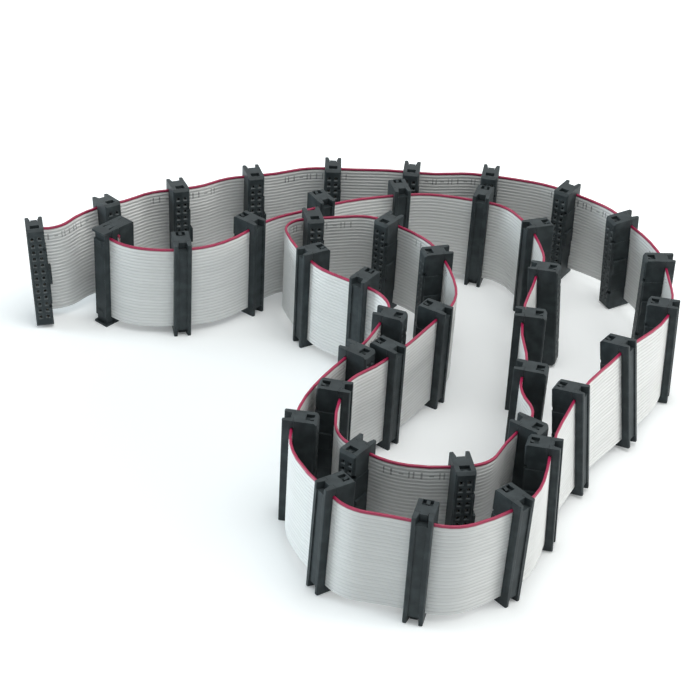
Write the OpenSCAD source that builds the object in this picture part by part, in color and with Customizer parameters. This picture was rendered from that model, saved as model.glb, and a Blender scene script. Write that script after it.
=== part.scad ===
// Flat ribbon cable with insulation-displacement sockets pressed on all along it.
// It stands on its edge: every socket stands on one end, and the ribbon snakes from one to the next.
// Millimetres, +Z up. The origin is under the middle of the row of sockets, on the surface it stands on.

/* [Ribbon] */
// Number of wires side by side
wires = 26; // [10:2:34]
// Distance from wire to wire
wire_pitch = 1.27; // [1:0.01:1.3]
// Thickness over the insulation of a wire
ribbon_t = 0.9; // [0.7:0.05:1]
// Height of the ridge that stands for the round insulation at each long edge
ribbon_edge = 0.35; // [0.2:0.05:0.6]

/* [Socket body] */
// Width of a socket along the ribbon
socket_w = 6.1; // [5.6:0.1:7]
// Length of a socket past each edge of the ribbon
socket_past = 2.54; // [2.4:0.02:3.5]
// Depth of the body, from its seat under the ribbon to its mating face
body_h = 7.1; // [6.6:0.1:8.5]
// Chamfer along the mating face
mating_chamfer = 0.5; // [0.2:0.05:0.6]
// Chamfer across each end of the mating face
end_chamfer = 0.9; // [0.3:0.05:1]
// Side of a square pin opening
pin_hole = 1.5; // [1.2:0.05:1.6]
// Distance between the two rows of pins
row_gap = 2.54; // [2.4:0.02:2.6]

/* [Polarising side] */
// Length of the raised panel on the polarising side
panel_l = 21; // [14:0.5:24]
// Height of the raised panel
panel_h = 0.25; // [0.1:0.05:0.4]
// Length of the polarising key
key_l = 5.6; // [3:0.1:6]
// Height of the key above the panel
key_h = 0.85; // [0.5:0.05:1]
// Depth of the key, from the mating face
key_d = 5.2; // [4:0.1:6]
// Length of the small notch above each end of the panel, at the mating face
notch_l = 1.4; // [0.8:0.1:2]
// Depth of that notch
notch_d = 0.5; // [0.3:0.05:0.8]

/* [Latch ends] */
// Width of the pocket in each end of the body
pocket_w = 3.2; // [2:0.1:3.6]
// Height of the pocket, across the end face
pocket_h = 2.6; // [1.6:0.1:3]
// Rim between the pocket and the mating face
pocket_rim = 1.15; // [1.1:0.05:1.6]
// Depth of the pocket into the end
pocket_d = 1.2; // [0.8:0.1:1.3]
// Width of the post on each end of the body, between the cap's prongs
post_w = 2.4; // [1.6:0.1:3]
// Height of the post above the ribbon's middle
post_up = 0.6; // [0.5:0.05:0.8]

/* [Cap] */
// Thickness of the cap over the ribbon
cap_h = 2.5; // [2:0.1:3.5]
// Width of the groove along the back of the cap
groove_w = 3.2; // [2:0.1:4]
// Depth of that groove
groove_d = 0.4; // [0.2:0.05:0.8]
// Width of the end notch at the back of the cap
mouth_w = 4.2; // [3.6:0.1:4.6]
// Chamfer along the back edges of the cap
cap_chamfer = 0.3; // [0.1:0.05:0.5]

/* [Strain relief] */
// Thickness of the bar that holds the folded ribbon down on the last cap
relief_h = 2.6; // [2:0.1:3]
// Width of the bar along the ribbon, between its flanges
relief_w = 5.1; // [4.4:0.1:5.5]
// Thickness of the flange across each end of the bar
flange_t = 0.8; // [0.5:0.05:1.2]
// Height of the flanges above the bar
flange_h = 0.3; // [0.1:0.05:0.5]
// Length of the recess behind each flange
recess_l = 2.6; // [1.8:0.1:4]
// Depth of that recess, from the face of the bar
recess_d = 0.7; // [0.4:0.05:1.2]
// Width of the raised pad beside each recess
pad_w = 2.6; // [1.6:0.1:4]
// Length of that pad along the bar
pad_l = 2.6; // [1.6:0.1:4]

/* [Contacts] */
// Thickness of a contact's metal
metal_t = 0.5; // [0.3:0.05:0.7]
// Clearance between a contact and the walls of its opening
contact_gap = 0.05; // [0.03:0.01:0.1]
// Depth of the mouth between the two tines that take a pin
mouth_depth = 3; // [2:0.1:4]
// Distance of the tines behind the mating face
contact_set_back = 0.7; // [0.4:0.1:1.5]

/* [Layout] */
// How far the sockets are spread out, as a multiple of the closest layout that they stand in
spread = 1; // [1:0.01:1.2]

/* [Fit] */
// Clearance between the ribbon and the plastic on each side
seat_gap = 0.05; // [0.03:0.01:0.1]
// Clearance between the cap's prongs and the body
prong_gap = 0.1; // [0.05:0.01:0.2]

/* [Hidden] */
// Sockets from end to end in the closest layout: [x, y, heading, lean, tip]. x and y are under the
// ribbon, the heading is the way the ribbon runs, a lean tips the top of the socket towards its mating
// side and a tip, where there is one, tips it forward along the ribbon.
STATIONS = [
  [-109, 42, 14, -4, -3], [-87, 60, 37, -8], [-65, 78, 22, -3], [-39, 94, 18, 0], [-9, 104, 2, 0],
  [21, 105, -4, 0], [51, 106, -8, 0], [81, 97, -32, 2], [102, 77, -62, 5, 2], [111, 46, -87, 1],
  [110, 14, -105, 3], [95, -15, -124, 9], [77, -42, -116, 7], [65, -70, -104, 3],
  [52, -96, -137, -1], [25, -107, 168, 1], [-3, -96, 127, 2], [-14, -63, 83, 0],
  [2, -23, 57, 0], [12, -1, 70, 0], [4, 20, 148, 0], [-15, 36, 122, 0], [-15, 64, 15, 0],
  [14, 64, -34, 0], [32, 42, -72, 0], [31, 3, -121, 0], [15.5, -22, -126, 0], [0, -46, -100, 0],
  [7, -74, -35, 0], [36, -79, 11, 0], [55, -58, 56, 0], [57, -28, 77, 0], [59, 4, 82, -1],
  [68, 34, 73, -5], [65, 65, 109, -1], [47, 85, 166, 0], [17, 86, -164, 0], [-11, 74, -148, 0],
  [-35, 55, -127, 0], [-59, 38, -166, -3], [-84, 45, 141, 0]
];
// First and last socket of each group whose caps, and whose contacts, share a node
GROUPS = [[1, 5], [6, 10], [11, 15], [16, 20], [21, 25], [26, 30], [31, 35], [36, 41]];
// Ribbon sections along each of the two arcs between sockets
ARC_STEPS = 2;
// Ribbon sections round the fold over the last cap
FOLD_STEPS = 6;
// How far the ribbon's cut end shows beside the last socket
cut_end = 0.3;
// How far a cut runs past the face it opens
over = 1;
QUARTER_TURN = 90;
HALF_TURN = 180;

ribbon_w = wires * wire_pitch;
socket_l = ribbon_w + 2 * socket_past;
seat = ribbon_t / 2 + seat_gap;
mating_y = -seat - body_h;
back_y = seat + cap_h;
pin_rows = wires / 2;
pin_pitch = 2 * wire_pitch;
first_pin_z = socket_l / 2 - (pin_rows - 1) / 2 * pin_pitch;
end_l = socket_past - seat_gap;
last = len(STATIONS) - 1;
stations = [for (s = STATIONS) [spread * s[0], spread * s[1], for (k = [2:len(s) - 1]) s[k]]];
fold_y = back_y + seat;
relief_y = fold_y + seat;

function two_digits(n) = n < 10 ? str("0", n) : str(n);
function socket_name(i) = str("housing_", two_digits(i + 1));
function group_name(word, g) = str(word, "_", two_digits(g[0]), "_", two_digits(g[1]));

// Placing: a socket's own frame has x along the ribbon, y towards the cap and z up its length.
// A stance is where such a frame stands: [x, y, heading, lean, tip, lift].
function dir(a) = [cos(a), sin(a)];
function left_of(a) = dir(a + QUARTER_TURN);
function tip(s) = len(s) > 4 ? s[4] : 0;
// a tilted socket is lifted until its lowest corner touches the surface
function lift(s) =
  max([for (x = [-1, 1] * socket_w / 2, y = [mating_y, back_y])
    x * sin(tip(s)) - y * sin(s[3]) * cos(tip(s))]);
function stance(s) = [s[0], s[1], s[2], s[3], tip(s), lift(s)];
function placed(f, p) =
  let (y = p[1] * cos(f[3]) - p[2] * sin(f[3]), up = p[1] * sin(f[3]) + p[2] * cos(f[3]),
       x = p[0] * cos(f[4]) + up * sin(f[4]), z = up * cos(f[4]) - p[0] * sin(f[4]))
  [f[0] + x * cos(f[2]) - y * sin(f[2]), f[1] + x * sin(f[2]) + y * cos(f[2]), z + f[5]];

CORNERS = [
  for (s = stations, x = [-1, 1] * socket_w / 2, y = [mating_y, back_y], z = [0, socket_l])
    placed(stance(s), [x, y, z])
];
function middle(k) = let (all = [for (c = CORNERS) c[k]]) (min(all) + max(all)) / 2;
middle_xy = [middle(0), middle(1)];

// Route of the ribbon on the plan: straight through each socket, two arcs from one to the next.
function cross2(u, v) = u[0] * v[1] - u[1] * v[0];
function dot2(u, v) = u[0] * v[0] + u[1] * v[1];
// one arc from a point and a heading to a second point: [start, heading, turn, radius, length]
function arc_to(p, a, q) =
  let (d = q - p, s = cross2(dir(a), d), c = dot2(dir(a), d), turn = 2 * atan2(s, c))
  abs(turn) < 0.05 ? [p, a, 0, 0, norm(d)]
  : let (r = norm(d) / (2 * sin(turn / 2))) [p, a, turn, r, abs(r * turn * PI / HALF_TURN)];
function on_arc(arc, t) =
  arc[3] == 0 ? arc[0] + t * arc[4] * dir(arc[1])
  : arc[0] + arc[3] * (left_of(arc[1]) - left_of(arc[1] + t * arc[2]));
// how far the two arcs reach along their end headings before they meet
function reach(v, t0, t1) =
  let (t = t0 + t1, vt = dot2(v, t), k = 2 * (1 - dot2(t0, t1)))
  k < 1e-6 ? dot2(v, v) / (4 * dot2(v, t1)) : (-vt + sqrt(vt * vt + k * dot2(v, v))) / k;
function meeting(p0, a0, p1, a1) =
  let (d = reach(p1 - p0, dir(a0), dir(a1))) (p0 + d * dir(a0) + p1 - d * dir(a1)) / 2;
function end_of(s, side, y = 0) =
  [s[0], s[1]] + side * socket_w / 2 * dir(s[2]) + y * left_of(s[2]);
// the two arcs between one station and the next, which they reach at y from its middle
function stretch(s, e, y) =
  let (p0 = end_of(s, 1), p1 = end_of(e, -1, y),
       first = arc_to(p0, s[2], meeting(p0, s[2], p1, e[2])),
       meet = on_arc(first, 1))
  [first, arc_to(meet, s[2] + first[2], p1)];

// sections of the ribbon: [stance, x, y, turn], the last three in the frame of the stance
function sections_between(s, e, y) =
  let (arcs = stretch(s, e, y), total = arcs[0][4] + arcs[1][4], from = stance(s), to = stance(e))
  [for (k = [0, 1], n = [1:ARC_STEPS]) if (k == 0 || n < ARC_STEPS)
    let (arc = arcs[k], t = n / ARC_STEPS, run = (k * arcs[0][4] + t * arc[4]) / total,
         foot = on_arc(arc, t), tilt = from + run * (to - from))
    [[foot[0], foot[1], arc[1] + t * arc[2], tilt[3], tilt[4], tilt[5]], 0, 0, 0]];
function sections_through(s, y) = [for (side = [-1, 1]) [stance(s), side * socket_w / 2, y, 0]];
// round the side of the last cap and back under it
function folded_end(s) =
  let (r = fold_y / 2)
  concat(
    [for (n = [1:FOLD_STEPS]) let (t = HALF_TURN * n / FOLD_STEPS)
      [stance(s), socket_w / 2 + r * sin(t), r + r * cos(t), t]],
    [[stance(s), -socket_w / 2 - cut_end, 0, HALF_TURN]]
  );
function all_sections() = [
  for (i = [0:last]) each [
    if (i > 0) each sections_between(stations[i - 1], stations[i], i == last ? fold_y : 0),
    each sections_through(stations[i], i == last ? fold_y : 0)
  ],
  each folded_end(stations[last])
];

// Cross-section of the ribbon: a flat strip with a ridge along each long edge.
function strip() =
  let (h = ribbon_t / 2, low = socket_past, high = socket_past + ribbon_w)
  [[0, low], [h, low + ribbon_edge], [h, high - ribbon_edge],
   [0, high], [-h, high - ribbon_edge], [-h, low + ribbon_edge]];

module ribbon() {
  sections = all_sections();
  outline = strip();
  n = len(outline);
  final = len(sections) - 1;
  points = [
    for (s = sections, p = outline)
      placed(s[0], [s[1] + p[0] * sin(s[3]), s[2] + p[0] * cos(s[3]), p[1]])
  ];
  sides = [
    for (k = [0:final - 1], j = [0:n - 1])
      let (a = k * n + j, b = k * n + (j + 1) % n)
      each [[a, b, b + n], [a, b + n, a + n]]
  ];
  ends = [[for (j = [n - 1:-1:0]) j], [for (j = [0:n - 1]) final * n + j]];
  color([0.78, 0.77, 0.76]) polyhedron(points, concat(sides, ends), convexity = 20);
}

// One outline of the body, cut across its length, with the mating edges chamfered.
module body_section() {
  w = socket_w / 2;
  polygon([
    [-w, -seat], [-w, mating_y + mating_chamfer], [-w + mating_chamfer, mating_y],
    [w - mating_chamfer, mating_y], [w, mating_y + mating_chamfer], [w, -seat]
  ]);
}

module pin_holes() {
  for (side = [-1, 1], n = [0:pin_rows - 1])
    translate([side * row_gap / 2 - pin_hole / 2, mating_y - over, first_pin_z + n * pin_pitch - pin_hole / 2])
      cube([pin_hole, body_h + 2 * over, pin_hole]);
}

module mating_end_chamfers() {
  for (m = [0, 1])
    translate([0, 0, m * socket_l]) mirror([0, 0, m])
      rotate([90, 0, 90])
        linear_extrude(socket_w + 2 * over, center = true)
          polygon([
            [mating_y - over, -over], [mating_y - over, end_chamfer + over],
            [mating_y + end_chamfer + over, -over]
          ]);
}

module end_pockets() {
  for (z = [-over, socket_l - pocket_d])
    translate([-pocket_w / 2, mating_y + pocket_rim, z])
      cube([pocket_w, pocket_h, pocket_d + over]);
}

// Raised panel and key on the polarising side, which faces the way the ribbon runs.
module polarising_side() {
  w = socket_w / 2;
  translate([w - over, mating_y + mating_chamfer, (socket_l - panel_l) / 2])
    cube([over + panel_h, body_h - mating_chamfer, panel_l]);
  translate([w - over, mating_y + mating_chamfer, (socket_l - key_l) / 2])
    cube([over + panel_h + key_h, key_d, key_l]);
}

module panel_notches() {
  for (z = [(socket_l - panel_l) / 2 - notch_l, (socket_l + panel_l) / 2])
    translate([socket_w / 2 - mating_chamfer - notch_d, mating_y - over, z])
      cube([mating_chamfer + notch_d + over, over + notch_d + mating_chamfer, notch_l]);
}

module end_posts() {
  post_l = end_l - prong_gap;
  for (z = [0, socket_l - post_l])
    translate([-post_w / 2, -seat - over, z])
      cube([post_w, over + seat + post_up, post_l]);
}

// Socket body: two rows of square pin openings, a polarising key and a latch pocket in each end.
module housing() {
  color([0.16, 0.17, 0.17])
    difference() {
      union() {
        linear_extrude(socket_l) body_section();
        polarising_side();
        end_posts();
      }
      pin_holes();
      mating_end_chamfers();
      end_pockets();
      panel_notches();
    }
}

// Cap pressed down over the ribbon: a grooved bar with two prongs at each end.
module cap() {
  w = socket_w / 2;
  bar = [
    [-w, seat], [w, seat], [w, back_y - cap_chamfer], [w - cap_chamfer, back_y],
    [groove_w / 2, back_y], [groove_w / 2, back_y - groove_d],
    [-groove_w / 2, back_y - groove_d], [-groove_w / 2, back_y],
    [-w + cap_chamfer, back_y], [-w, back_y - cap_chamfer]
  ];
  foot_y = -seat + prong_gap;
  throat = post_w / 2 + prong_gap;
  color([0.16, 0.17, 0.17])
    difference() {
      union() {
        linear_extrude(socket_l) polygon(bar);
        for (z = [0, socket_l - end_l])
          translate([-w, foot_y, z]) cube([socket_w, seat - foot_y + over, end_l]);
      }
      for (z = [-over, socket_l - end_l])
        translate([0, 0, z])
          linear_extrude(end_l + over)
            polygon([
              [-throat, foot_y - over], [throat, foot_y - over], [throat, seat],
              [mouth_w / 2, back_y + over], [-mouth_w / 2, back_y + over], [-throat, seat]
            ]);
    }
}

// Strain relief over the last cap: a bar with a flange, a recess, a pad and a leg at each end.
module strain_relief() {
  leg_w = post_w - 2 * prong_gap;
  leg_y = post_up + prong_gap;
  recess_end = flange_t + recess_l;
  color([0.16, 0.17, 0.17])
    difference() {
      union() {
        translate([-relief_w / 2, relief_y, 0]) cube([relief_w, relief_h, socket_l]);
        for (m = [0, 1])
          translate([0, 0, m * socket_l]) mirror([0, 0, m]) {
            translate([-socket_w / 2, back_y + seat_gap, 0])
              cube([socket_w, relief_y - back_y - seat_gap + relief_h + flange_h, flange_t]);
            translate([-relief_w / 2, back_y + seat_gap, 0]) cube([relief_w, relief_h, end_l]);
            translate([-leg_w / 2, leg_y, 0]) cube([leg_w, relief_y - leg_y + over, end_l]);
            translate([-pad_w / 2, relief_y, recess_end])
              cube([pad_w, relief_h + flange_h, pad_l]);
          }
      }
      for (m = [0, 1])
        translate([0, 0, m * socket_l]) mirror([0, 0, m])
          translate([-relief_w / 2 - over, relief_y + relief_h - recess_d, flange_t])
            cube([relief_w + 2 * over, recess_d + flange_h + over, recess_l]);
    }
}

// Contact: a metal blade across its wire, split into two tines where a pin enters.
module contact() {
  w = pin_hole / 2 - contact_gap;
  low = mating_y + contact_set_back;
  translate([-metal_t / 2, 0, 0])
    rotate([90, 0, 90])
      linear_extrude(metal_t)
        polygon([[low, -w], [low + mouth_depth, 0], [low, w], [-seat, w], [-seat, -w]]);
}

module contacts() {
  color([0.75, 0.72, 0.66])
    for (side = [-1, 1], n = [0:pin_rows - 1])
      translate([side * row_gap / 2, 0, first_pin_z + n * pin_pitch]) contact();
}

module stand(i) {
  s = stations[i];
  translate([s[0] - middle_xy[0], s[1] - middle_xy[1], lift(s)]) rotate([s[3], tip(s), s[2]]) children();
}

module group_of(g) {
  for (i = [g[0] - 1:g[1] - 1]) stand(i) children();
}

translate([-middle_xy[0], -middle_xy[1], 0]) ribbon();
stand(last) strain_relief();
for (i = [0:last])
  stand(i) housing();
for (g = GROUPS)
  group_of(g) cap();
for (g = GROUPS)
  group_of(g) contacts();
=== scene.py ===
"""Looks of a flat ribbon cable that stands on its edge, with press-on sockets all along it.

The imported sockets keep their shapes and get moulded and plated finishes. The ribbon is a mesh of
its own, with a ridge over every wire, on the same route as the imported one. The bevelled mouths of
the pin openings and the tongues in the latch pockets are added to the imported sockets. Lengths are
in metres.
"""

from __future__ import annotations

import logging
import math
from dataclasses import dataclass, field
from enum import Enum
from itertools import chain

import bpy
import numpy as np
from mathutils import Matrix, Vector

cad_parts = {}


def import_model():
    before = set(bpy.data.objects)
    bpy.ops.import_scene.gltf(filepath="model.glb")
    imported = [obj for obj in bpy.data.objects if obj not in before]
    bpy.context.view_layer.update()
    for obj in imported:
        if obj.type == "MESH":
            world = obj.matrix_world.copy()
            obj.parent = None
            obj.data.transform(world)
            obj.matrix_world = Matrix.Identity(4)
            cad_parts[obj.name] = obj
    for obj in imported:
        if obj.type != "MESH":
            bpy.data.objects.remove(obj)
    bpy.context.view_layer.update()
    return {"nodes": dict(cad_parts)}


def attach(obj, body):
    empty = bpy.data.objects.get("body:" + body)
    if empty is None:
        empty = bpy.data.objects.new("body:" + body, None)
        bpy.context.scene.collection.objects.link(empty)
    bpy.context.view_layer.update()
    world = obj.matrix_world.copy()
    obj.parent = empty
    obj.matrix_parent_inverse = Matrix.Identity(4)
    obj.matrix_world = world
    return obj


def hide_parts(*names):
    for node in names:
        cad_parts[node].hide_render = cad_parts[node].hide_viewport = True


log = logging.getLogger("ribbon_cable")
Colour = tuple[float, float, float]
Place = tuple[float, float, float]
Span = tuple[float, float]

MM = 0.001
WIRES = 26
NO_TURN = 1e-3  # An arc that turns less than this, in radians, is laid as a straight line.
NO_BEND = 1e-6  # Two headings whose difference gives less than this are parallel.
RUN = "run"  # The ribbon's UV map.

# Each socket: [x, y, heading, lean, tip] in metres and degrees, from the ribbon's first end on.
STATIONS: tuple[tuple[float, float, float, float, float], ...] = (
    (-0.109, 0.042, 14, -4, -3), (-0.087, 0.060, 37, -8, 0), (-0.065, 0.078, 22, -3, 0),
    (-0.039, 0.094, 18, 0, 0), (-0.009, 0.104, 2, 0, 0), (0.021, 0.105, -4, 0, 0),
    (0.051, 0.106, -8, 0, 0), (0.081, 0.097, -32, 2, 0), (0.102, 0.077, -62, 5, 2),
    (0.111, 0.046, -87, 1, 0), (0.110, 0.014, -105, 3, 0), (0.095, -0.015, -124, 9, 0),
    (0.077, -0.042, -116, 7, 0), (0.065, -0.070, -104, 3, 0), (0.052, -0.096, -137, -1, 0),
    (0.025, -0.107, 168, 1, 0), (-0.003, -0.096, 127, 2, 0), (-0.014, -0.063, 83, 0, 0),
    (0.002, -0.023, 57, 0, 0), (0.012, -0.001, 70, 0, 0), (0.004, 0.020, 148, 0, 0),
    (-0.015, 0.036, 122, 0, 0), (-0.015, 0.064, 15, 0, 0), (0.014, 0.064, -34, 0, 0),
    (0.032, 0.042, -72, 0, 0), (0.031, 0.003, -121, 0, 0), (0.0155, -0.022, -126, 0, 0),
    (0.000, -0.046, -100, 0, 0), (0.007, -0.074, -35, 0, 0), (0.036, -0.079, 11, 0, 0),
    (0.055, -0.058, 56, 0, 0), (0.057, -0.028, 77, 0, 0), (0.059, 0.004, 82, -1, 0),
    (0.068, 0.034, 73, -5, 0), (0.065, 0.065, 109, -1, 0), (0.047, 0.085, 166, 0, 0),
    (0.017, 0.086, -164, 0, 0), (-0.011, 0.074, -148, 0, 0), (-0.035, 0.055, -127, 0, 0),
    (-0.059, 0.038, -166, -3, 0), (-0.084, 0.045, 141, 0, 0),
)


class Slot(Enum):
    """The record's material slots."""

    RIBBON = "ribbon_insulation"
    PLASTIC = "black_plastic"
    METAL = "contact_metal"


# ---------------------------------------------------------------- shader maths


class Signal:
    """A shader socket that takes part in plain arithmetic."""

    def __init__(self, paint: Paint, socket: bpy.types.NodeSocket) -> None:
        """Wraps a socket.

        Args:
            paint: The paint whose node tree the socket is in.
            socket: The output socket.
        """
        self.paint = paint
        self.socket = socket

    def math(self, operation: str, *values: Signal | float) -> Signal:
        """Adds a Math node.

        Args:
            operation: The node's operation.
            values: Its inputs in order.

        Returns:
            The node's result.
        """
        settings = {"operation": operation}
        return self.paint.signal("ShaderNodeMath", settings, dict(enumerate(values)))

    def __add__(self, other: Signal | float) -> Signal:
        """The sum."""
        return self.math("ADD", self, other)

    __radd__ = __add__

    def __sub__(self, other: Signal | float) -> Signal:
        """The difference."""
        return self.math("SUBTRACT", self, other)

    def __rsub__(self, other: Signal | float) -> Signal:
        """A number less this value."""
        return self.math("SUBTRACT", other, self)

    def __mul__(self, other: Signal | float) -> Signal:
        """The product."""
        return self.math("MULTIPLY", self, other)

    __rmul__ = __mul__

    def __truediv__(self, other: Signal | float) -> Signal:
        """The quotient."""
        return self.math("DIVIDE", self, other)

    def __rtruediv__(self, other: Signal | float) -> Signal:
        """A number over this value."""
        return self.math("DIVIDE", other, self)

    def below(self, limit: Signal | float) -> Signal:
        """1 where the value is under the limit, and 0 elsewhere."""
        return self.math("LESS_THAN", self, limit)

    def floor(self) -> Signal:
        """The whole number under the value."""
        return self.math("FLOOR", self)

    def fraction(self) -> Signal:
        """What is left over the whole number."""
        return self.math("FRACT", self)

    def size(self) -> Signal:
        """The value without its sign."""
        return self.math("ABSOLUTE", self)

    def either(self, other: Signal) -> Signal:
        """The larger of two values."""
        return self.math("MAXIMUM", self, other)

    def rise(self, low: float, high: float) -> Signal:
        """A smooth step.

        Args:
            low: Where the step leaves 0.
            high: Where it reaches 1. A step that falls has high under low.

        Returns:
            The step, from 0 to 1.
        """
        if high < low:
            return 1.0 - self.rise(high, low)
        return self.paint.signal(
            "ShaderNodeMapRange",
            {"interpolation_type": "SMOOTHSTEP"},
            {"Value": self, "From Min": low, "From Max": high},
        )


class Paint:
    """The nodes of one procedural material, or of the world."""

    def __init__(self, owner: bpy.types.Material | bpy.types.World) -> None:
        """Starts with no nodes.

        Args:
            owner: The new material or world.
        """
        self.owner = owner
        owner.use_nodes = True
        self.tree = owner.node_tree
        self.tree.nodes.clear()

    def node(
        self, kind: str, settings: dict[str, object] | None = None, inputs: dict | None = None
    ) -> bpy.types.Node:
        """Adds a node of any kind.

        Args:
            kind: The node's type.
            settings: The node's own settings, which are set first.
            inputs: A value, colour, socket or Signal for each input, by name or number.

        Returns:
            The node.
        """
        node = self.tree.nodes.new(kind)
        for key, value in (settings or {}).items():
            setattr(node, key, value)
        for key, value in (inputs or {}).items():
            target = node.inputs[key]
            if isinstance(value, Signal):
                value = value.socket
            if isinstance(value, bpy.types.NodeSocket):
                self.tree.links.new(value, target)
            elif target.type == "RGBA" and len(value) == 3:
                target.default_value = (*value, 1.0)
            else:
                target.default_value = value
        return node

    def signal(
        self, kind: str, settings: dict | None, inputs: dict | None, output: int = 0
    ) -> Signal:
        """Adds a node and wraps one of its outputs.

        Args:
            kind: The node's type.
            settings: The node's own settings.
            inputs: Its inputs.
            output: The number of the output.

        Returns:
            The output.
        """
        return Signal(self, self.node(kind, settings, inputs).outputs[output])

    def place(self) -> bpy.types.NodeSocket:
        """The point in the piece's own coordinates."""
        return self.node("ShaderNodeTexCoord").outputs["Object"]

    def noise(self, where: object, scale: float, detail: float = 2.0, rough: float = 0.5) -> Signal:
        """Smooth noise from 0 to 1.

        Args:
            where: The coordinates.
            scale: Cells per metre.
            detail: Octaves.
            rough: How strong the finer octaves are.

        Returns:
            The noise.
        """
        inputs = {"Vector": where, "Scale": scale, "Detail": detail, "Roughness": rough}
        return self.signal("ShaderNodeTexNoise", None, inputs)

    def blend(self, factor: object, first: object, second: object) -> bpy.types.NodeSocket:
        """Mixes two colours.

        Args:
            factor: 0 for the first colour, 1 for the second.
            first: A colour or a colour socket.
            second: A colour or a colour socket.

        Returns:
            The mixed colour's socket.
        """
        node = self.node("ShaderNodeMix", {"data_type": "RGBA"}, {0: factor, 6: first, 7: second})
        return node.outputs[2]

    def bump(self, height: Signal, depth: float, normal: object = None) -> bpy.types.NodeSocket:
        """A bump from a height.

        Args:
            height: The height, from 0 to 1.
            depth: The height of 1, in metres.
            normal: The normal under the bump, if it isn't the surface's own.

        Returns:
            The normal's socket.
        """
        inputs = {"Height": height, "Distance": depth, "Strength": 1.0}
        if normal is not None:
            inputs["Normal"] = normal
        return self.node("ShaderNodeBump", None, inputs).outputs[0]

    def seen(self) -> Signal:
        """Tells what shows from what lights.

        Returns:
            1 for what the camera, a reflection or a clear piece shows, and 0 for other light.
        """
        path = self.node("ShaderNodeLightPath").outputs
        eye, gloss, clear = (
            Signal(self, path[f"Is {kind} Ray"]) for kind in ("Camera", "Glossy", "Transmission")
        )
        return eye.either(gloss).either(clear)

    def finish(self, inputs: dict[str, object]) -> bpy.types.Material:
        """Ends the material with a Principled shader.

        Args:
            inputs: The shader's inputs.

        Returns:
            The material.
        """
        shader = self.node("ShaderNodeBsdfPrincipled", None, inputs)
        self.node("ShaderNodeOutputMaterial", None, {"Surface": shader.outputs[0]})
        return self.owner


# ---------------------------------------------------------------- finishes

# A finish's scales are in cells per metre. A span is where a smooth step starts and where it ends.


@dataclass(frozen=True)
class MouldedPlastic:
    """Black glass-filled plastic: fine spark-eroded grain, softened edges that catch the light."""

    name: str = "moulded_black_plastic"
    body: Colour = (0.028, 0.036, 0.039)
    bloom: Colour = (0.045, 0.056, 0.060)
    worn: Colour = (0.095, 0.113, 0.117)
    roughness: float = 0.46
    index: float = 1.27
    cloud_scale: float = 260.0
    cloud_span: Span = (0.35, 0.75)
    cloud_gloss: float = 0.16
    grain_scale: float = 4200.0
    grain_depth: float = 0.012 * MM
    grain_gloss: float = 0.10
    edge_radius: float = 0.22 * MM
    edge_samples: int = 4
    edge_span: Span = (0.01, 0.22)
    wear_span: Span = (0.25, 0.75)
    wear: float = 0.55

    def material(self) -> bpy.types.Material:
        """Builds the material.

        The colour goes from body to bloom with broad noise, and to worn where the softened normal
        turns away from the face's own. Roughness follows the same noise.

        Returns:
            The material.
        """
        paint = Paint(bpy.data.materials.new(self.name))
        place = paint.place()
        cloud = paint.noise(place, self.cloud_scale, detail=3.0)
        grain = paint.noise(place, self.grain_scale, rough=0.6)
        samples = {"samples": self.edge_samples}
        soft = paint.node("ShaderNodeBevel", samples, {"Radius": self.edge_radius}).outputs[0]
        flat = paint.node("ShaderNodeNewGeometry").outputs["Normal"]
        settings = {"operation": "DOT_PRODUCT"}
        facing = paint.signal("ShaderNodeVectorMath", settings, {0: soft, 1: flat}, 1)
        edge = (1.0 - facing).rise(*self.edge_span) * cloud.rise(*self.wear_span)
        cloudy = paint.blend(cloud.rise(*self.cloud_span), self.body, self.bloom)
        gloss = (cloud - 0.5) * self.cloud_gloss + (grain - 0.5) * self.grain_gloss
        return paint.finish(
            {
                "Base Color": paint.blend(edge * self.wear, cloudy, self.worn),
                "Roughness": self.roughness + gloss,
                "Normal": paint.bump(grain, self.grain_depth, soft),
                "IOR": self.index,
            }
        )


@dataclass(frozen=True)
class LeadInHighlightPlastic(MouldedPlastic):
    """The same plastic, smoother, and painted paler as a highlight on the pin mouths' bevels."""

    name: str = "lead_in_painted_highlight_plastic"
    # Painted highlight: these colours are paler than the moulded plastic's, so that the pin mouths
    # show as light spots.
    body: Colour = (0.085, 0.100, 0.104)
    bloom: Colour = (0.120, 0.138, 0.142)
    worn: Colour = (0.160, 0.180, 0.184)
    roughness: float = 0.36
    edge_radius: float = 0.08 * MM


@dataclass(frozen=True)
class TinnedMetal:
    """Tin-plated spring bronze: pale, softly brushed across the blade."""

    name: str = "tinned_contact_metal"
    bright: Colour = (0.80, 0.78, 0.72)
    dull: Colour = (0.55, 0.52, 0.46)
    dull_span: Span = (0.3, 0.8)
    roughness: float = 0.34
    streak_scale: float = 900.0
    squeeze: float = 8.0
    streak_depth: float = 0.006 * MM
    streak_gloss: float = 0.2

    def material(self) -> bpy.types.Material:
        """Builds the material: noise squeezed along the height blends bright and dull.

        Returns:
            The material.
        """
        paint = Paint(bpy.data.materials.new(self.name))
        drawn = {"Vector": paint.place(), "Scale": (1.0, 1.0, self.squeeze)}
        where = paint.node("ShaderNodeMapping", None, drawn).outputs[0]
        streak = paint.noise(where, self.streak_scale, detail=3.0, rough=0.6)
        return paint.finish(
            {
                "Base Color": paint.blend(streak.rise(*self.dull_span), self.bright, self.dull),
                "Metallic": 1.0,
                "Roughness": self.roughness + (streak - 0.5) * self.streak_gloss,
                "Normal": paint.bump(streak, self.streak_depth),
            }
        )


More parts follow.
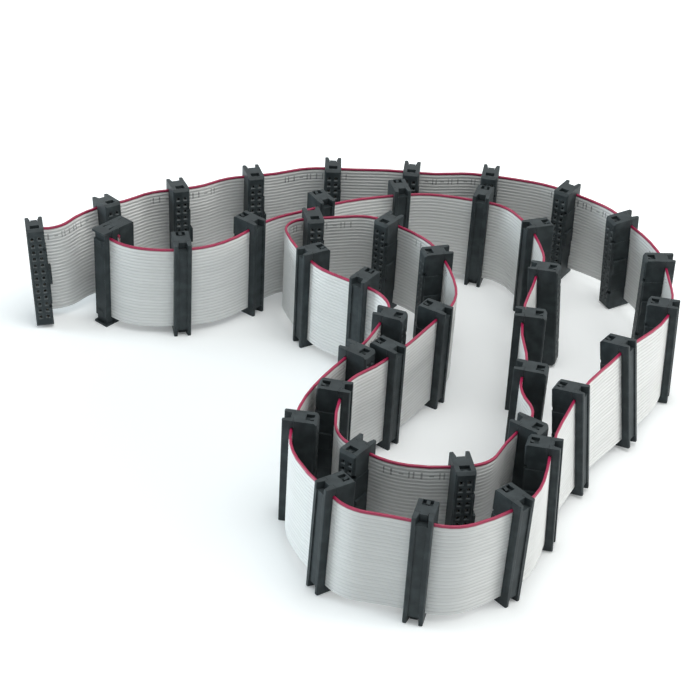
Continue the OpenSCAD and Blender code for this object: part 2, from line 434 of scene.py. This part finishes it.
@dataclass(frozen=True)
class DashedPrint:
    """Plain dashes in groups, a few wires below the top of one face.

    The run is cut into cells, and a cell holds an upright dash, two of them or a level one. The
    cell and the group are in metres. Spans along the ribbon are shares of a cell, and spans up it
    are in wires.
    """

    cell: float = 3.0 * MM
    group: float = 52.0 * MM
    printed: float = 0.5
    below_top: float = 3.1
    golden: float = 0.61803
    single_share: float = 0.36
    double_share: float = 0.38
    single_span: Span = (0.12, 0.07)
    double_span: Span = (0.10, 0.06)
    double_apart: float = 0.22
    tall_span: Span = (1.0, 0.9)
    level_span: Span = (0.26, 0.22)
    level_stroke: Span = (0.24, 0.16)

    def marks(self, along: Signal, round_it: Signal) -> Signal:
        """The dashes.

        What a cell holds goes by the fraction of its number times the golden ratio.

        Args:
            along: Distance along the ribbon.
            round_it: Wires counted round it.

        Returns:
            1 on a dash and 0 elsewhere.
        """
        height = (round_it - (WIRES + self.below_top)).size()
        step = along / self.cell
        kind = (step.floor() * self.golden).fraction()
        off = (step.fraction() - 0.5).size()
        one = off.rise(*self.single_span)
        two = (off - self.double_apart).size().rise(*self.double_span)
        level = off.rise(*self.level_span) * height.rise(*self.level_stroke)
        tall = height.rise(*self.tall_span)
        single = kind.below(self.single_share)
        double = kind.below(self.single_share + self.double_share)
        dash = single * one * tall + (double - single) * two * tall + (1.0 - double) * level
        return dash * (along / self.group).fraction().below(self.printed)


@dataclass(frozen=True)
class RibbonVinyl:
    """Grey vinyl over the wires, crimson over the first, with a plain dashed print on one face.

    The mesh's UV map gives the distance along the ribbon in metres, and the wires counted round it:
    0 at the lower edge, up the cap's side to `WIRES` at the top, and down the other to twice that.
    """

    name: str = "ribbon_vinyl"
    grey: Colour = (0.740, 0.752, 0.745)
    shade: Colour = (0.700, 0.711, 0.703)
    tone_span: Span = (0.25, 0.75)
    drift: float = 14.0
    lane_gap: float = 3.7
    crimson: Colour = (0.335, 0.012, 0.064)
    crimson_span: Span = (0.98, 0.84)
    # Painted shade in the valleys between the wires: its colour, its strength and where it starts
    # and ends.
    groove_shade: Colour = (0.330, 0.335, 0.340)
    groove_shade_strength: float = 0.28
    groove_shade_span: Span = (0.33, 0.49)
    dashes: DashedPrint = DashedPrint()
    print_ink: Colour = (0.130, 0.135, 0.140)
    faintest: float = 0.35
    fullest: float = 0.85
    roughness: float = 0.40
    index: float = 1.50
    scuff_scale: float = 420.0
    scuff_depth: float = 0.008 * MM
    scuff_gloss: float = 0.2

    def material(self) -> bpy.types.Material:
        """Builds the material.

        Each wire has a tone of its own, which drifts along it, and the valleys between the wires
        are darkened with painted shade. Within one wire of the top the colour is crimson. The
        dashes darken the grey, some of them more than others.

        Returns:
            The material.
        """
        paint = Paint(bpy.data.materials.new(self.name))
        run = paint.node("ShaderNodeUVMap", {"uv_map": RUN}).outputs[0]
        split = paint.node("ShaderNodeSeparateXYZ", None, {0: run}).outputs
        along, round_it = Signal(paint, split[0]), Signal(paint, split[1])
        lanes = {0: along * self.drift, 1: round_it.floor() * self.lane_gap}
        lane = paint.node("ShaderNodeCombineXYZ", None, lanes).outputs[0]
        tone = paint.noise(lane, 1.0, detail=1.0).rise(*self.tone_span)
        grey = paint.blend(tone, self.grey, self.shade)
        fade = paint.noise(lane, 2.0, detail=1.0).rise(*self.tone_span)
        ink = self.faintest + fade * (self.fullest - self.faintest)
        marked = paint.blend(self.dashes.marks(along, round_it) * ink, grey, self.print_ink)
        # Painted shade: the colour darkens in the valleys between the wires.
        valley = (round_it.fraction() - 0.5).size().rise(*self.groove_shade_span)
        groove_shaded = paint.blend(valley * self.groove_shade_strength, marked, self.groove_shade)
        red = (round_it - float(WIRES)).size().rise(*self.crimson_span)
        scuff = paint.noise(paint.place(), self.scuff_scale, detail=4.0, rough=0.6)
        return paint.finish(
            {
                "Base Color": paint.blend(red, groove_shaded, self.crimson),
                "Roughness": self.roughness + (scuff - 0.5) * self.scuff_gloss,
                "Normal": paint.bump(scuff, self.scuff_depth),
                "IOR": self.index,
            }
        )


@dataclass(frozen=True)
class CopperStrands:
    """Bright copper at the wires' cut ends."""

    name: str = "copper_strands"
    bright: Colour = (0.80, 0.40, 0.22)
    dark: Colour = (0.50, 0.22, 0.12)
    dark_span: Span = (0.3, 0.7)
    roughness: float = 0.3
    grain_scale: float = 9000.0
    grain_gloss: float = 0.2

    def material(self) -> bpy.types.Material:
        """Builds the material: fine noise darkens the copper.

        Returns:
            The material.
        """
        paint = Paint(bpy.data.materials.new(self.name))
        grain = paint.noise(paint.place(), self.grain_scale)
        return paint.finish(
            {
                "Base Color": paint.blend(grain.rise(*self.dark_span), self.bright, self.dark),
                "Metallic": 1.0,
                "Roughness": self.roughness + grain * self.grain_gloss,
            }
        )


# ---------------------------------------------------------------- route


def placed(stance: np.ndarray, point: np.ndarray) -> np.ndarray:
    """Carries points from a socket's frame into the cable's.

    The point is leant about the ribbon's direction, tipped along it, turned to the heading, and
    moved to the foot.

    Args:
        stance: Rows of x, y, heading, lean, tip and lift, angles in radians.
        point: Rows of x along the ribbon, y towards the cap and z up the socket.

    Returns:
        The points in the cable's frame.
    """
    x, y, heading, lean, tip, lift = np.moveaxis(stance, -1, 0)
    ahead, side, up = np.moveaxis(point, -1, 0)
    across = side * np.cos(lean) - up * np.sin(lean)
    rise = side * np.sin(lean) + up * np.cos(lean)
    on = ahead * np.cos(tip) + rise * np.sin(tip)
    high = rise * np.cos(tip) - ahead * np.sin(tip)
    return np.stack(
        [
            x + on * np.cos(heading) - across * np.sin(heading),
            y + on * np.sin(heading) + across * np.cos(heading),
            high + lift,
        ],
        axis=-1,
    )


def direction(angle: np.ndarray | float) -> np.ndarray:
    """The unit vector on the plan at an angle."""
    return np.stack([np.cos(angle), np.sin(angle)], axis=-1)


@dataclass(frozen=True)
class Arc:
    """An arc on the plan, from a start point and heading, through a turn."""

    start: np.ndarray
    heading: float
    turn: float
    radius: float
    length: float

    @classmethod
    def through(cls, start: np.ndarray, heading: float, end: np.ndarray) -> Arc:
        """The arc that leaves a point at a heading and reaches another.

        Args:
            start: Where it starts.
            heading: The way it leaves.
            end: Where it ends.

        Returns:
            The arc: its turn is twice the angle from the heading to the chord.
        """
        chord = end - start
        ahead = direction(heading)
        turn = 2 * math.atan2(ahead[0] * chord[1] - ahead[1] * chord[0], float(ahead @ chord))
        span = float(np.linalg.norm(chord))
        if abs(turn) < NO_TURN:
            return cls(start, heading, 0.0, 0.0, span)
        radius = span / (2 * math.sin(turn / 2))
        return cls(start, heading, turn, radius, abs(radius * turn))

    def at(self, share: np.ndarray) -> np.ndarray:
        """The points at shares of its length, as centre plus radius times direction.

        Args:
            share: From 0 at the start to 1 at the end.

        Returns:
            One point per share.
        """
        if self.radius == 0:
            return self.start + np.outer(share, self.length * direction(self.heading))
        spoke = direction(self.heading + share * self.turn - math.pi / 2)
        return self.start + self.radius * (spoke - direction(self.heading - math.pi / 2))


@dataclass
class SocketRow:
    """Where the sockets stand, and the sizes of one that the ribbon needs."""

    width: float = 6.1 * MM
    length: float = 38.1 * MM
    mating_y: float = -7.6 * MM
    back_y: float = 3.0 * MM
    seat: float = 0.5 * MM
    stances: np.ndarray = field(init=False)

    def __post_init__(self) -> None:
        """Turns the stations into stances round the middle of the row."""
        rows = np.array(STATIONS)
        rows[:, 2:] = np.radians(rows[:, 2:])
        feet = np.array([[x, y, 0] for x in (-1, 1) for y in (self.mating_y, self.back_y)], float)
        feet[:, 0] *= self.width / 2
        flat = np.hstack([rows, np.zeros((len(rows), 1))])
        flat[:, 5] = -placed(flat[:, None, :], feet[None]).min(axis=1)[:, 2]
        corners = np.vstack([feet, feet + [0, 0, self.length]])
        reach = placed(flat[:, None, :], corners[None]).reshape(-1, 3)
        flat[:, :2] -= (reach.min(axis=0) + reach.max(axis=0))[:2] / 2
        self.stances = flat

    @property
    def middle(self) -> np.ndarray:
        """How far the stations were moved to bring the row's middle to the origin."""
        return self.stances[0, :2] - np.array(STATIONS[0][:2])

    @property
    def fold_y(self) -> float:
        """Where the ribbon lies over the last cap, under the strain relief."""
        return self.back_y + self.seat


@dataclass
class Route:
    """The ribbon's path: rows of a stance, and of x, y and turn in that stance's frame."""

    sockets: SocketRow
    step: float = 8.0 * MM
    bend: float = math.radians(9)
    fold_steps: int = 12
    cut_end: float = 0.3 * MM
    stances: list[np.ndarray] = field(default_factory=list)
    local: list[np.ndarray] = field(default_factory=list)

    def add(self, stances: np.ndarray, local: np.ndarray) -> None:
        """Adds sections to the route.

        Args:
            stances: Six numbers each.
            local: x, y and turn each.
        """
        self.stances.append(np.atleast_2d(stances))
        self.local.append(np.atleast_2d(local))

    def through(self, stance: np.ndarray, side: float) -> None:
        """The straight stretch inside a socket.

        Args:
            stance: The socket's stance.
            side: The stretch's y in the socket's frame.
        """
        ends = np.array([[-1.0, 0, 0], [1.0, 0, 0]]) * self.sockets.width / 2
        self.add(np.repeat(stance[None], 2, axis=0), ends + [0, side, 0])

    def between(self, first: np.ndarray, second: np.ndarray, side: float) -> None:
        """Two arcs that meet with one heading, from a socket to the next.

        Each reaches the same distance along its end heading to the point where they meet, half-way
        between those two points. Lean, tip and lift change evenly on the way.

        Args:
            first: The stance that the ribbon leaves.
            second: The stance that it comes to.
            side: The y at which it enters the second.
        """
        half = self.sockets.width / 2
        ahead0, ahead1 = direction(first[2]), direction(second[2])
        start = first[:2] + half * ahead0
        end = second[:2] - half * ahead1 + side * direction(second[2] + math.pi / 2)
        gap, both = end - start, ahead0 + ahead1
        bend, along = 2 * (1 - float(ahead0 @ ahead1)), float(gap @ both)
        if bend < NO_BEND:
            reach = float(gap @ gap) / (4 * float(gap @ ahead1))
        else:
            reach = (-along + math.sqrt(along**2 + bend * float(gap @ gap))) / bend
        meet = (start + reach * ahead0 + end - reach * ahead1) / 2
        arc0 = Arc.through(start, first[2], meet)
        arc1 = Arc.through(meet, first[2] + arc0.turn, end)
        total, before = arc0.length + arc1.length, 0.0
        for arc in (arc0, arc1):
            count = max(2, math.ceil(arc.length / self.step), math.ceil(abs(arc.turn) / self.bend))
            share = np.arange(1, count + (arc is arc0)) / count
            run = (before + share * arc.length) / total
            stances = first + run[:, None] * (second - first)
            stances[:, :2] = arc.at(share)
            stances[:, 2] = arc.heading + share * arc.turn
            self.add(stances, np.zeros((len(share), 3)))
            before += arc.length

    def folded(self, stance: np.ndarray) -> None:
        """Half a turn round the side of the last cap, and back to the cut end.

        Args:
            stance: The last socket's stance.
        """
        radius = self.sockets.fold_y / 2
        turn = np.linspace(0, math.pi, self.fold_steps + 1)[1:]
        x = self.sockets.width / 2 + radius * np.sin(turn)
        y = radius + radius * np.cos(turn)
        self.add(np.repeat(stance[None], len(turn), axis=0), np.stack([x, y, turn], axis=1))
        self.add(stance, np.array([-self.sockets.width / 2 - self.cut_end, 0, math.pi]))

    def lay(self) -> tuple[np.ndarray, np.ndarray]:
        """Works out the whole route.

        Returns:
            The stances and the local rows.
        """
        rows = self.sockets.stances
        for i, stance in enumerate(rows):
            side = self.sockets.fold_y if i == len(rows) - 1 else 0.0
            if i:
                self.between(rows[i - 1], stance, side)
            self.through(stance, side)
        self.folded(rows[-1])
        return np.vstack(self.stances), np.vstack(self.local)


# ---------------------------------------------------------------- pieces


def new_piece(
    name: str, points: np.ndarray, blocks: list[np.ndarray], smooth: list[bool]
) -> bpy.types.Object:
    """Makes a mesh object at the origin.

    Args:
        name: The piece's name.
        points: Its vertices.
        blocks: Its faces, in blocks of rows of vertex numbers.
        smooth: For each block, whether it is shaded smooth.

    Returns:
        The object.
    """
    mesh = bpy.data.meshes.new(name)
    faces = list(chain.from_iterable(block.tolist() for block in blocks))
    mesh.from_pydata(points.reshape(-1, 3).tolist(), [], faces)
    mesh.polygons.foreach_set("use_smooth", np.repeat(smooth, [len(block) for block in blocks]))
    mesh.update()
    piece = bpy.data.objects.new(name, mesh)
    bpy.context.scene.collection.objects.link(piece)
    return piece


def repeated(faces: np.ndarray, copies: int, size: int) -> np.ndarray:
    """The faces of one form, numbered for each of its copies in turn.

    Args:
        faces: Rows of vertex numbers in the form.
        copies: How many copies there are.
        size: How many points the form has.

    Returns:
        Rows of vertex numbers: each copy's are the form's plus size times the copy's number.
    """
    start = np.arange(copies)[:, None, None] * size
    return (start + faces).reshape(-1, faces.shape[1])


def dress(piece: bpy.types.Object, material: bpy.types.Material) -> None:
    """Gives a piece one material.

    Args:
        piece: The piece.
        material: Its material.
    """
    piece.data.materials.clear()
    piece.data.materials.append(material)


# ---------------------------------------------------------------- ribbon


@dataclass
class Ribbon:
    """The ribbon: one ridge per wire on each face, swept along the route."""

    sockets: SocketRow
    pitch: float = 1.27 * MM
    radius: float = 0.45 * MM
    web: float = 0.29 * MM
    shoulder: float = 0.6
    lowest: float = 2.54 * MM
    core: float = 0.19 * MM
    core_sides: int = 8
    core_taper: float = 0.9
    core_sunk: float = 0.05 * MM
    core_proud: float = 0.03 * MM
    core_crown: float = 0.05 * MM

    def profile(self) -> tuple[np.ndarray, np.ndarray]:
        """The outline across the ribbon, up one face and down the other.

        A ridge is half a circle over its wire, never thinner than the web: its height is the
        larger of the web and the square root of radius squared less distance squared. Each wire has
        six points: the valley, both feet of the ridge, its crest and a shoulder on each side.

        Returns:
            Rows of offset and height, and the wires counted round the outline.
        """
        foot = math.sqrt(self.radius**2 - self.web**2) / self.pitch
        near = self.shoulder * foot
        lane = 0.5 + np.array([-0.5, -foot, -near, 0, near, foot])
        count = np.append((np.arange(WIRES)[:, None] + lane).ravel(), WIRES)
        edge = 0.5 - self.radius / self.pitch
        count = np.clip(count, edge, WIRES - edge)
        away = (count - np.clip(np.floor(count), 0, WIRES - 1) - 0.5) * self.pitch
        high = np.sqrt(np.maximum(self.radius**2 - away**2, 0))
        high[1:-1] = np.maximum(high[1:-1], self.web)
        height = self.lowest + count * self.pitch
        side = np.stack([high, height], axis=1)
        back = np.stack([-high, height], axis=1)[-2:0:-1]
        return np.vstack([side, back]), np.concatenate([count, 2 * WIRES - count[-2:0:-1]])

    @staticmethod
    def skin(rows: int, size: int) -> list[np.ndarray]:
        """The faces of a swept tube with both ends closed.

        A wall is the quad from a point to the next one round and to the same two one row on. The
        ends are quads from one face of the ribbon to the other, and a triangle at each edge.

        Args:
            rows: Number of rings.
            size: Points in a ring.

        Returns:
            The walls, and the quads and triangles of both ends.
        """
        here = np.arange(rows * size).reshape(rows, size)
        after = np.roll(here, -1, axis=1)
        walls = np.stack([here[:-1], after[:-1], after[1:], here[1:]], axis=-1).reshape(-1, 4)
        low = np.arange(1, size // 2 - 1)
        quads = np.stack([low, size - low, size - low - 1, low + 1], axis=1)
        half, end = size // 2, (rows - 1) * size
        tips = np.array([[0, size - 1, 1], [half, half - 1, half + 1]])
        return [walls, quads, tips, quads[:, ::-1] + end, tips[:, ::-1] + end]

    def build(self) -> tuple[bpy.types.Object, bpy.types.Object, np.ndarray]:
        """Sweeps the outline along the route and closes both ends.

        A point of a ring is its section's own point, plus the offset along the normal, which is at
        the section's turn from the cap's direction, plus the height.

        Returns:
            The ribbon, the copper at its cut ends, and the line down its middle.
        """
        stances, local = Route(self.sockets).lay()
        outline, count = self.profile()
        turn = local[:, 2]
        flat = np.zeros_like(turn)
        normal = np.stack([np.sin(turn), np.cos(turn), flat], axis=1)
        base = np.stack([local[:, 0], local[:, 1], flat], axis=1)
        rings = base[:, None] + normal[:, None] * outline[None, :, :1]
        rings[..., 2] += outline[None, :, 1]
        line = placed(stances, base + [0, 0, self.lowest + WIRES * self.pitch / 2])
        rows, size = rings.shape[:2]
        blocks = self.skin(rows, size)
        points = placed(stances[:, None], rings)
        ribbon = new_piece("ribbon_insulation", points, blocks, [True] + [False] * 4)
        self.unwrap(ribbon, line, count, blocks)
        return ribbon, self.cut_cores(stances, local), line

    @staticmethod
    def unwrap(
        ribbon: bpy.types.Object, line: np.ndarray, count: np.ndarray, blocks: list[np.ndarray]
    ) -> None:
        """Writes the UV map: the distance along the line, and the wires counted round.

        Args:
            ribbon: The piece.
            line: The line down its middle, one point for each ring.
            count: The wires counted round, for each point of a ring.
            blocks: Its faces, the walls first.
        """
        steps = np.linalg.norm(np.diff(line, axis=0), axis=1)
        along = np.concatenate([[0], np.cumsum(steps)])
        size = len(count)
        corners = np.concatenate([block.ravel() for block in blocks])
        uv = np.stack([along[corners // size], count[corners % size]], axis=1)
        walls = blocks[0]
        closing = walls[:, 0] % size == size - 1
        uv[: walls.size].reshape(-1, 4, 2)[closing, 1:3, 1] = 2 * WIRES
        ribbon.data.uv_layers.new(name=RUN).data.foreach_set("uv", uv.ravel())

    def cut_cores(self, stances: np.ndarray, local: np.ndarray) -> bpy.types.Object:
        """The copper of every wire at both cut ends: low domes that stand a hair proud.

        A dome is a ring, a smaller ring further out and a point, with a flat face behind. It is
        turned with its section.

        Args:
            stances: The route's stances.
            local: Its local rows.

        Returns:
            One piece with all of them.
        """
        n = self.core_sides
        angle = np.linspace(0, 2 * math.pi, n, endpoint=False)
        rim = np.stack([np.zeros(n), np.cos(angle), np.sin(angle)], axis=1) * self.core
        outer = rim * self.core_taper + [self.core_proud, 0, 0]
        dome = np.vstack([rim - [self.core_sunk, 0, 0], outer, [[self.core_crown, 0, 0]]])
        here, after = np.arange(n), (np.arange(n) + 1) % n
        side = np.stack([here, after, n + after, n + here], axis=1)
        top = np.stack([n + here, n + after, np.full(n, 2 * n)], axis=1)
        foot = here[None, ::-1]
        centres = self.lowest + (np.arange(WIRES) + 0.5) * self.pitch
        points, blocks = [], []
        for row, out in ((0, -1), (-1, 1)):
            before = len(points) * WIRES * len(dome)
            for part in (side, top, foot):
                blocks.append(before + repeated(part[:, ::out], WIRES, len(dome)))
            x0, y0, turn = local[row]
            spot = np.repeat(dome[None] * [out, 1, 1], WIRES, axis=0)
            x = spot[..., 0] * math.cos(turn) + spot[..., 1] * math.sin(turn) + x0
            y = spot[..., 1] * math.cos(turn) - spot[..., 0] * math.sin(turn) + y0
            z = spot[..., 2] + centres[:, None]
            points.append(placed(stances[row], np.stack([x, y, z], axis=-1)).reshape(-1, 3))
        return new_piece("cut_wire_ends", np.vstack(points), blocks, [False] * len(blocks))


# ---------------------------------------------------------------- lead-ins


@dataclass
class LeadIns:
    """The bevelled mouth of every pin opening, and the short square throat behind it."""

    sockets: SocketRow
    rows: int = WIRES // 2
    pin_pitch: float = 2.54 * MM
    row_gap: float = 2.54 * MM
    mouth: float = 1.49 * MM
    throat: float = 0.80 * MM
    set_in: float = 0.03 * MM
    bevel: float = 0.42 * MM
    depth: float = 0.65 * MM

    def build(self) -> bpy.types.Object:
        """Repeats one mouth over the grid of every socket.

        A mouth is five square rings, one after the other: the back of the mouth, its front, the
        front of the throat, its back, and the back of the mouth again, so that it is closed.

        Returns:
            One piece with all of them.
        """
        corner = np.array([[-1, 0, -1], [1, 0, -1], [1, 0, 1], [-1, 0, 1]]) / 2
        widths = np.array([self.mouth, self.mouth, self.throat, self.throat])
        depths = np.array([self.depth, self.set_in, self.bevel, self.depth])
        ring = widths[:, None, None] * corner
        ring[..., 1] = self.sockets.mating_y + depths[:, None]
        one = ring.reshape(-1, 3)
        first = self.sockets.length / 2 - (self.rows - 1) / 2 * self.pin_pitch
        heights = first + np.arange(self.rows) * self.pin_pitch
        side, height = np.meshgrid([-self.row_gap / 2, self.row_gap / 2], heights, indexing="ij")
        spots = np.stack([side.ravel(), np.zeros(side.size), height.ravel()], axis=1)
        grid = (spots[:, None] + one).reshape(-1, 3)
        points = placed(self.sockets.stances[:, None], grid[None])
        here = np.arange(len(one)).reshape(len(ring), -1)
        beside = np.roll(here, -1, axis=1)
        beyond = np.roll([beside, here], -1, axis=1)
        walls = np.stack([here, beside, *beyond], axis=-1).reshape(-1, 4)
        blocks = [repeated(walls, points.size // one.size, len(one))]
        return new_piece("pin_lead_ins", points, blocks, [False])


# ---------------------------------------------------------------- pocket tongues


@dataclass
class PocketTongues:
    """A sloped tongue in every latch pocket, and flush hooks in the last socket's two pockets."""

    sockets: SocketRow
    rim: float = 1.15 * MM
    root: float = 0.05 * MM
    width: float = 1.1 * MM
    reach: float = 1.3 * MM
    sunk: float = 0.12 * MM
    slope: float = 0.45 * MM
    depth: float = 1.25 * MM
    hook_width: float = 3.1 * MM
    hook_reach: float = 2.5 * MM

    def block(self, width: float, reach: float, slope: float) -> np.ndarray:
        """The eight corners of one tongue, at the foot end.

        Its top falls by the slope from the pocket's wall to its free edge.

        Args:
            width: Its width along the ribbon.
            reach: How far it stands out from the wall.
            slope: How far its top falls.

        Returns:
            The corners: the wall's side first, its top two, then its bottom two.
        """
        side = np.array([-1, 1, 1, -1]) * width / 2
        wall = self.sockets.mating_y + self.rim - self.root
        near = np.stack([side, np.full(4, wall), np.repeat([self.sunk, self.depth], 2)], axis=1)
        far = near + [0, self.root + reach, 0]
        far[:2, 2] += slope
        return np.vstack([near, far])

    def build(self) -> bpy.types.Object:
        """Repeats the tongue at both ends of every socket.

        The upper one is the lower one turned over: z becomes the length less z, and x changes sign.

        Returns:
            One piece with all of them.
        """
        count = len(self.sockets.stances)
        tongue = self.block(self.width, self.reach, self.slope)
        hook = self.block(self.hook_width, self.hook_reach, 0.0)
        low = np.stack([tongue] * (count - 1) + [hook])
        high = low * [-1, 1, -1] + [0, 0, self.sockets.length]
        both = np.stack([low, high], axis=1)
        points = placed(self.sockets.stances[:, None, None], both)
        faces = np.array(
            [[0, 1, 2, 3], [7, 6, 5, 4], [0, 4, 5, 1], [1, 5, 6, 2], [2, 6, 7, 3], [3, 7, 4, 0]]
        )
        blocks = [repeated(faces, 2 * count, len(tongue))]
        return new_piece("pocket_tongues", points, blocks, [False])


# ---------------------------------------------------------------- stage


@dataclass(frozen=True)
class Lamp:
    """A square soft lamp that faces the cable: its place, side, power in watts and tint."""

    name: str
    place: Place
    size: float
    power: float
    tint: Colour
    aim: Place = (0.0, 0.0, 0.02)

    def hang(self) -> None:
        """Adds the lamp to the scene."""
        data = bpy.data.lights.new(self.name, "AREA")
        data.shape, data.size, data.energy, data.color = "SQUARE", self.size, self.power, self.tint
        lamp = bpy.data.objects.new(self.name, data)
        beam = Vector(self.aim) - Vector(self.place)
        turn = beam.to_track_quat("-Z", "Y").to_matrix().to_4x4()
        lamp.matrix_world = Matrix.Translation(self.place) @ turn
        bpy.context.scene.collection.objects.link(lamp)


WARM: Colour = (1.0, 0.99, 0.96)
COOL: Colour = (0.85, 0.95, 1.0)
LAMPS = (
    Lamp("overhead", (0.05, -0.08, 0.60), 0.45, 2.1, (1.0, 0.99, 0.97)),
    Lamp("right_high", (0.75, -0.20, 0.85), 0.70, 1.9, WARM),
    Lamp("right_back", (0.70, 0.35, 0.90), 0.70, 0.9, WARM),
    Lamp("right_low", (1.05, 0.00, 0.22), 0.40, 4.6, WARM),
    Lamp("back_high", (0.00, 0.80, 0.90), 0.70, 0.4, (1.0, 1.0, 1.0)),
    Lamp("left_high", (-0.80, -0.10, 0.75), 0.70, 0.7, COOL),
    Lamp("left_low", (-1.05, 0.10, 0.22), 0.40, 7.9, COOL),
    Lamp("left_front", (-0.80, -0.70, 0.25), 0.45, 0.9, (0.88, 0.96, 1.0)),
)


@dataclass
class Stage:
    """A pale floor, soft studio lamps and the camera.

    The camera's angles are in degrees. Half the frame's width and the lens's distance from it share
    one unit.
    """

    middle: np.ndarray
    floor_size: float = 8.0
    floor_drop: float = 0.05 * MM
    floor_tone: Colour = (0.90, 0.925, 0.935)
    floor_cloud: Colour = (0.93, 0.95, 0.96)
    cloud_scale: float = 3.0
    glow_near: float = 0.09
    glow_rise: float = 0.9
    glow_span: Span = (0.05, 0.35)
    glow_tint: Colour = (0.97, 1.0, 1.0)
    sky: float = 0.17
    sky_tint: Colour = (0.88, 0.98, 1.0)
    backdrop: Colour = (0.99, 1.0, 1.0)
    eye: Place = (0.0017, -0.4917, 0.34327)
    pitch: float = 33.21
    roll: float = 3.513
    half_frame: float = 350.0
    focal_length: float = 1759.1
    clip: Span = (0.01, 50.0)

    def camera(self) -> None:
        """Sets the camera, with a slight roll, looking down along +Y."""
        data = bpy.data.cameras.new("camera")
        data.sensor_fit = "HORIZONTAL"
        data.angle = 2 * math.atan(self.half_frame / self.focal_length)
        data.clip_start, data.clip_end = self.clip
        camera = bpy.data.objects.new("camera", data)
        tilt = Matrix.Rotation(math.radians(90 - self.pitch), 4, "X")
        turn = Matrix.Rotation(math.radians(self.roll), 4, "Z")
        where = Vector(self.eye) + Vector((*self.middle, 0))
        camera.matrix_world = Matrix.Translation(where) @ tilt @ turn
        bpy.context.scene.collection.objects.link(camera)
        bpy.context.scene.camera = camera

    def floor(self) -> None:
        """Lays the floor: white, with the shadows kept near the cable.

        Further out it fades to plain white, by the distance from the middle. Only the camera and
        reflections see that.
        """
        corners = np.array([[-1, -1, 0], [1, -1, 0], [1, 1, 0], [-1, 1, 0]]) * self.floor_size / 2
        lowered = corners - [0, 0, self.floor_drop]
        floor = new_piece("floor", lowered, [np.array([[0, 1, 2, 3]])], [False])
        paint = Paint(bpy.data.materials.new("pale_floor"))
        place = paint.place()
        cloud = paint.noise(place, self.cloud_scale)
        tone = paint.blend(cloud, self.floor_tone, self.floor_cloud)
        shade = paint.node("ShaderNodeBsdfDiffuse", None, {"Color": tone})
        away = paint.signal("ShaderNodeVectorMath", {"operation": "LENGTH"}, {0: place}, 1)
        bright = paint.seen() * (self.glow_near + self.glow_rise * away.rise(*self.glow_span))
        light = {"Color": self.glow_tint, "Strength": bright}
        glow = paint.node("ShaderNodeEmission", None, light)
        both = paint.node("ShaderNodeAddShader", None, {0: shade.outputs[0], 1: glow.outputs[0]})
        paint.node("ShaderNodeOutputMaterial", None, {"Surface": both.outputs[0]})
        dress(floor, paint.owner)

    def world(self) -> None:
        """Gives the sky an even light, and shows it white to the camera and in reflections."""
        paint = Paint(bpy.data.worlds.new("studio"))
        bpy.context.scene.world = paint.owner
        seen = paint.seen()
        level = self.sky + seen * (1.0 - self.sky)
        colour = paint.blend(seen, self.sky_tint, self.backdrop)
        back = paint.node("ShaderNodeBackground", None, {"Color": colour, "Strength": level})
        paint.node("ShaderNodeOutputWorld", None, {"Surface": back.outputs[0]})

    def build(self) -> None:
        """Sets the camera, floor, world and lamps."""
        self.camera()
        self.floor()
        self.world()
        for lamp in LAMPS:
            lamp.hang()
        bpy.context.scene.view_settings.view_transform = "Standard"


# ---------------------------------------------------------------- cable


@dataclass
class Cable:
    """The whole cable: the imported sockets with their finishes, and the new pieces."""

    nodes: dict[str, bpy.types.Object]
    sockets: SocketRow = field(default_factory=SocketRow)

    @staticmethod
    def add(piece: bpy.types.Object, material: bpy.types.Material, slot: Slot) -> None:
        """Dresses a new piece, and says what it rides on.

        Args:
            piece: The piece.
            material: Its material.
            slot: Not used.
        """
        dress(piece, material)
        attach(piece, "root")
        log.info("%s: %d faces", piece.name, len(piece.data.polygons))

    def dress_sockets(self) -> None:
        """Gives every packed socket part its finish, and builds the fine parts on the sockets."""
        plastic, metal = MouldedPlastic().material(), TinnedMetal().material()
        for name, node in self.nodes.items():
            if name != "ribbon":
                dress(node, metal if name.startswith("contacts") else plastic)
        log.info("sockets: %d packed parts dressed", len(self.nodes) - 1)
        # The pin mouths get the paler plastic: a painted highlight.
        self.add(LeadIns(self.sockets).build(), LeadInHighlightPlastic().material(), Slot.PLASTIC)
        self.add(PocketTongues(self.sockets).build(), plastic, Slot.PLASTIC)

    def add_ribbon(self) -> None:
        ribbon, ends, line = Ribbon(self.sockets).build()
        self.add(ribbon, RibbonVinyl().material(), Slot.RIBBON)
        self.add(ends, CopperStrands().material(), Slot.METAL)
        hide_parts("ribbon")


def main() -> None:
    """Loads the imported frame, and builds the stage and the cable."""
    logging.basicConfig(level=logging.INFO, format="%(message)s")
    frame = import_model()
    cable = Cable(frame["nodes"])
    Stage(cable.sockets.middle).build()
    log.info("stage: camera, floor and lamps")
    cable.add_ribbon()
    cable.dress_sockets()


if __name__ == "__main__":
    main()
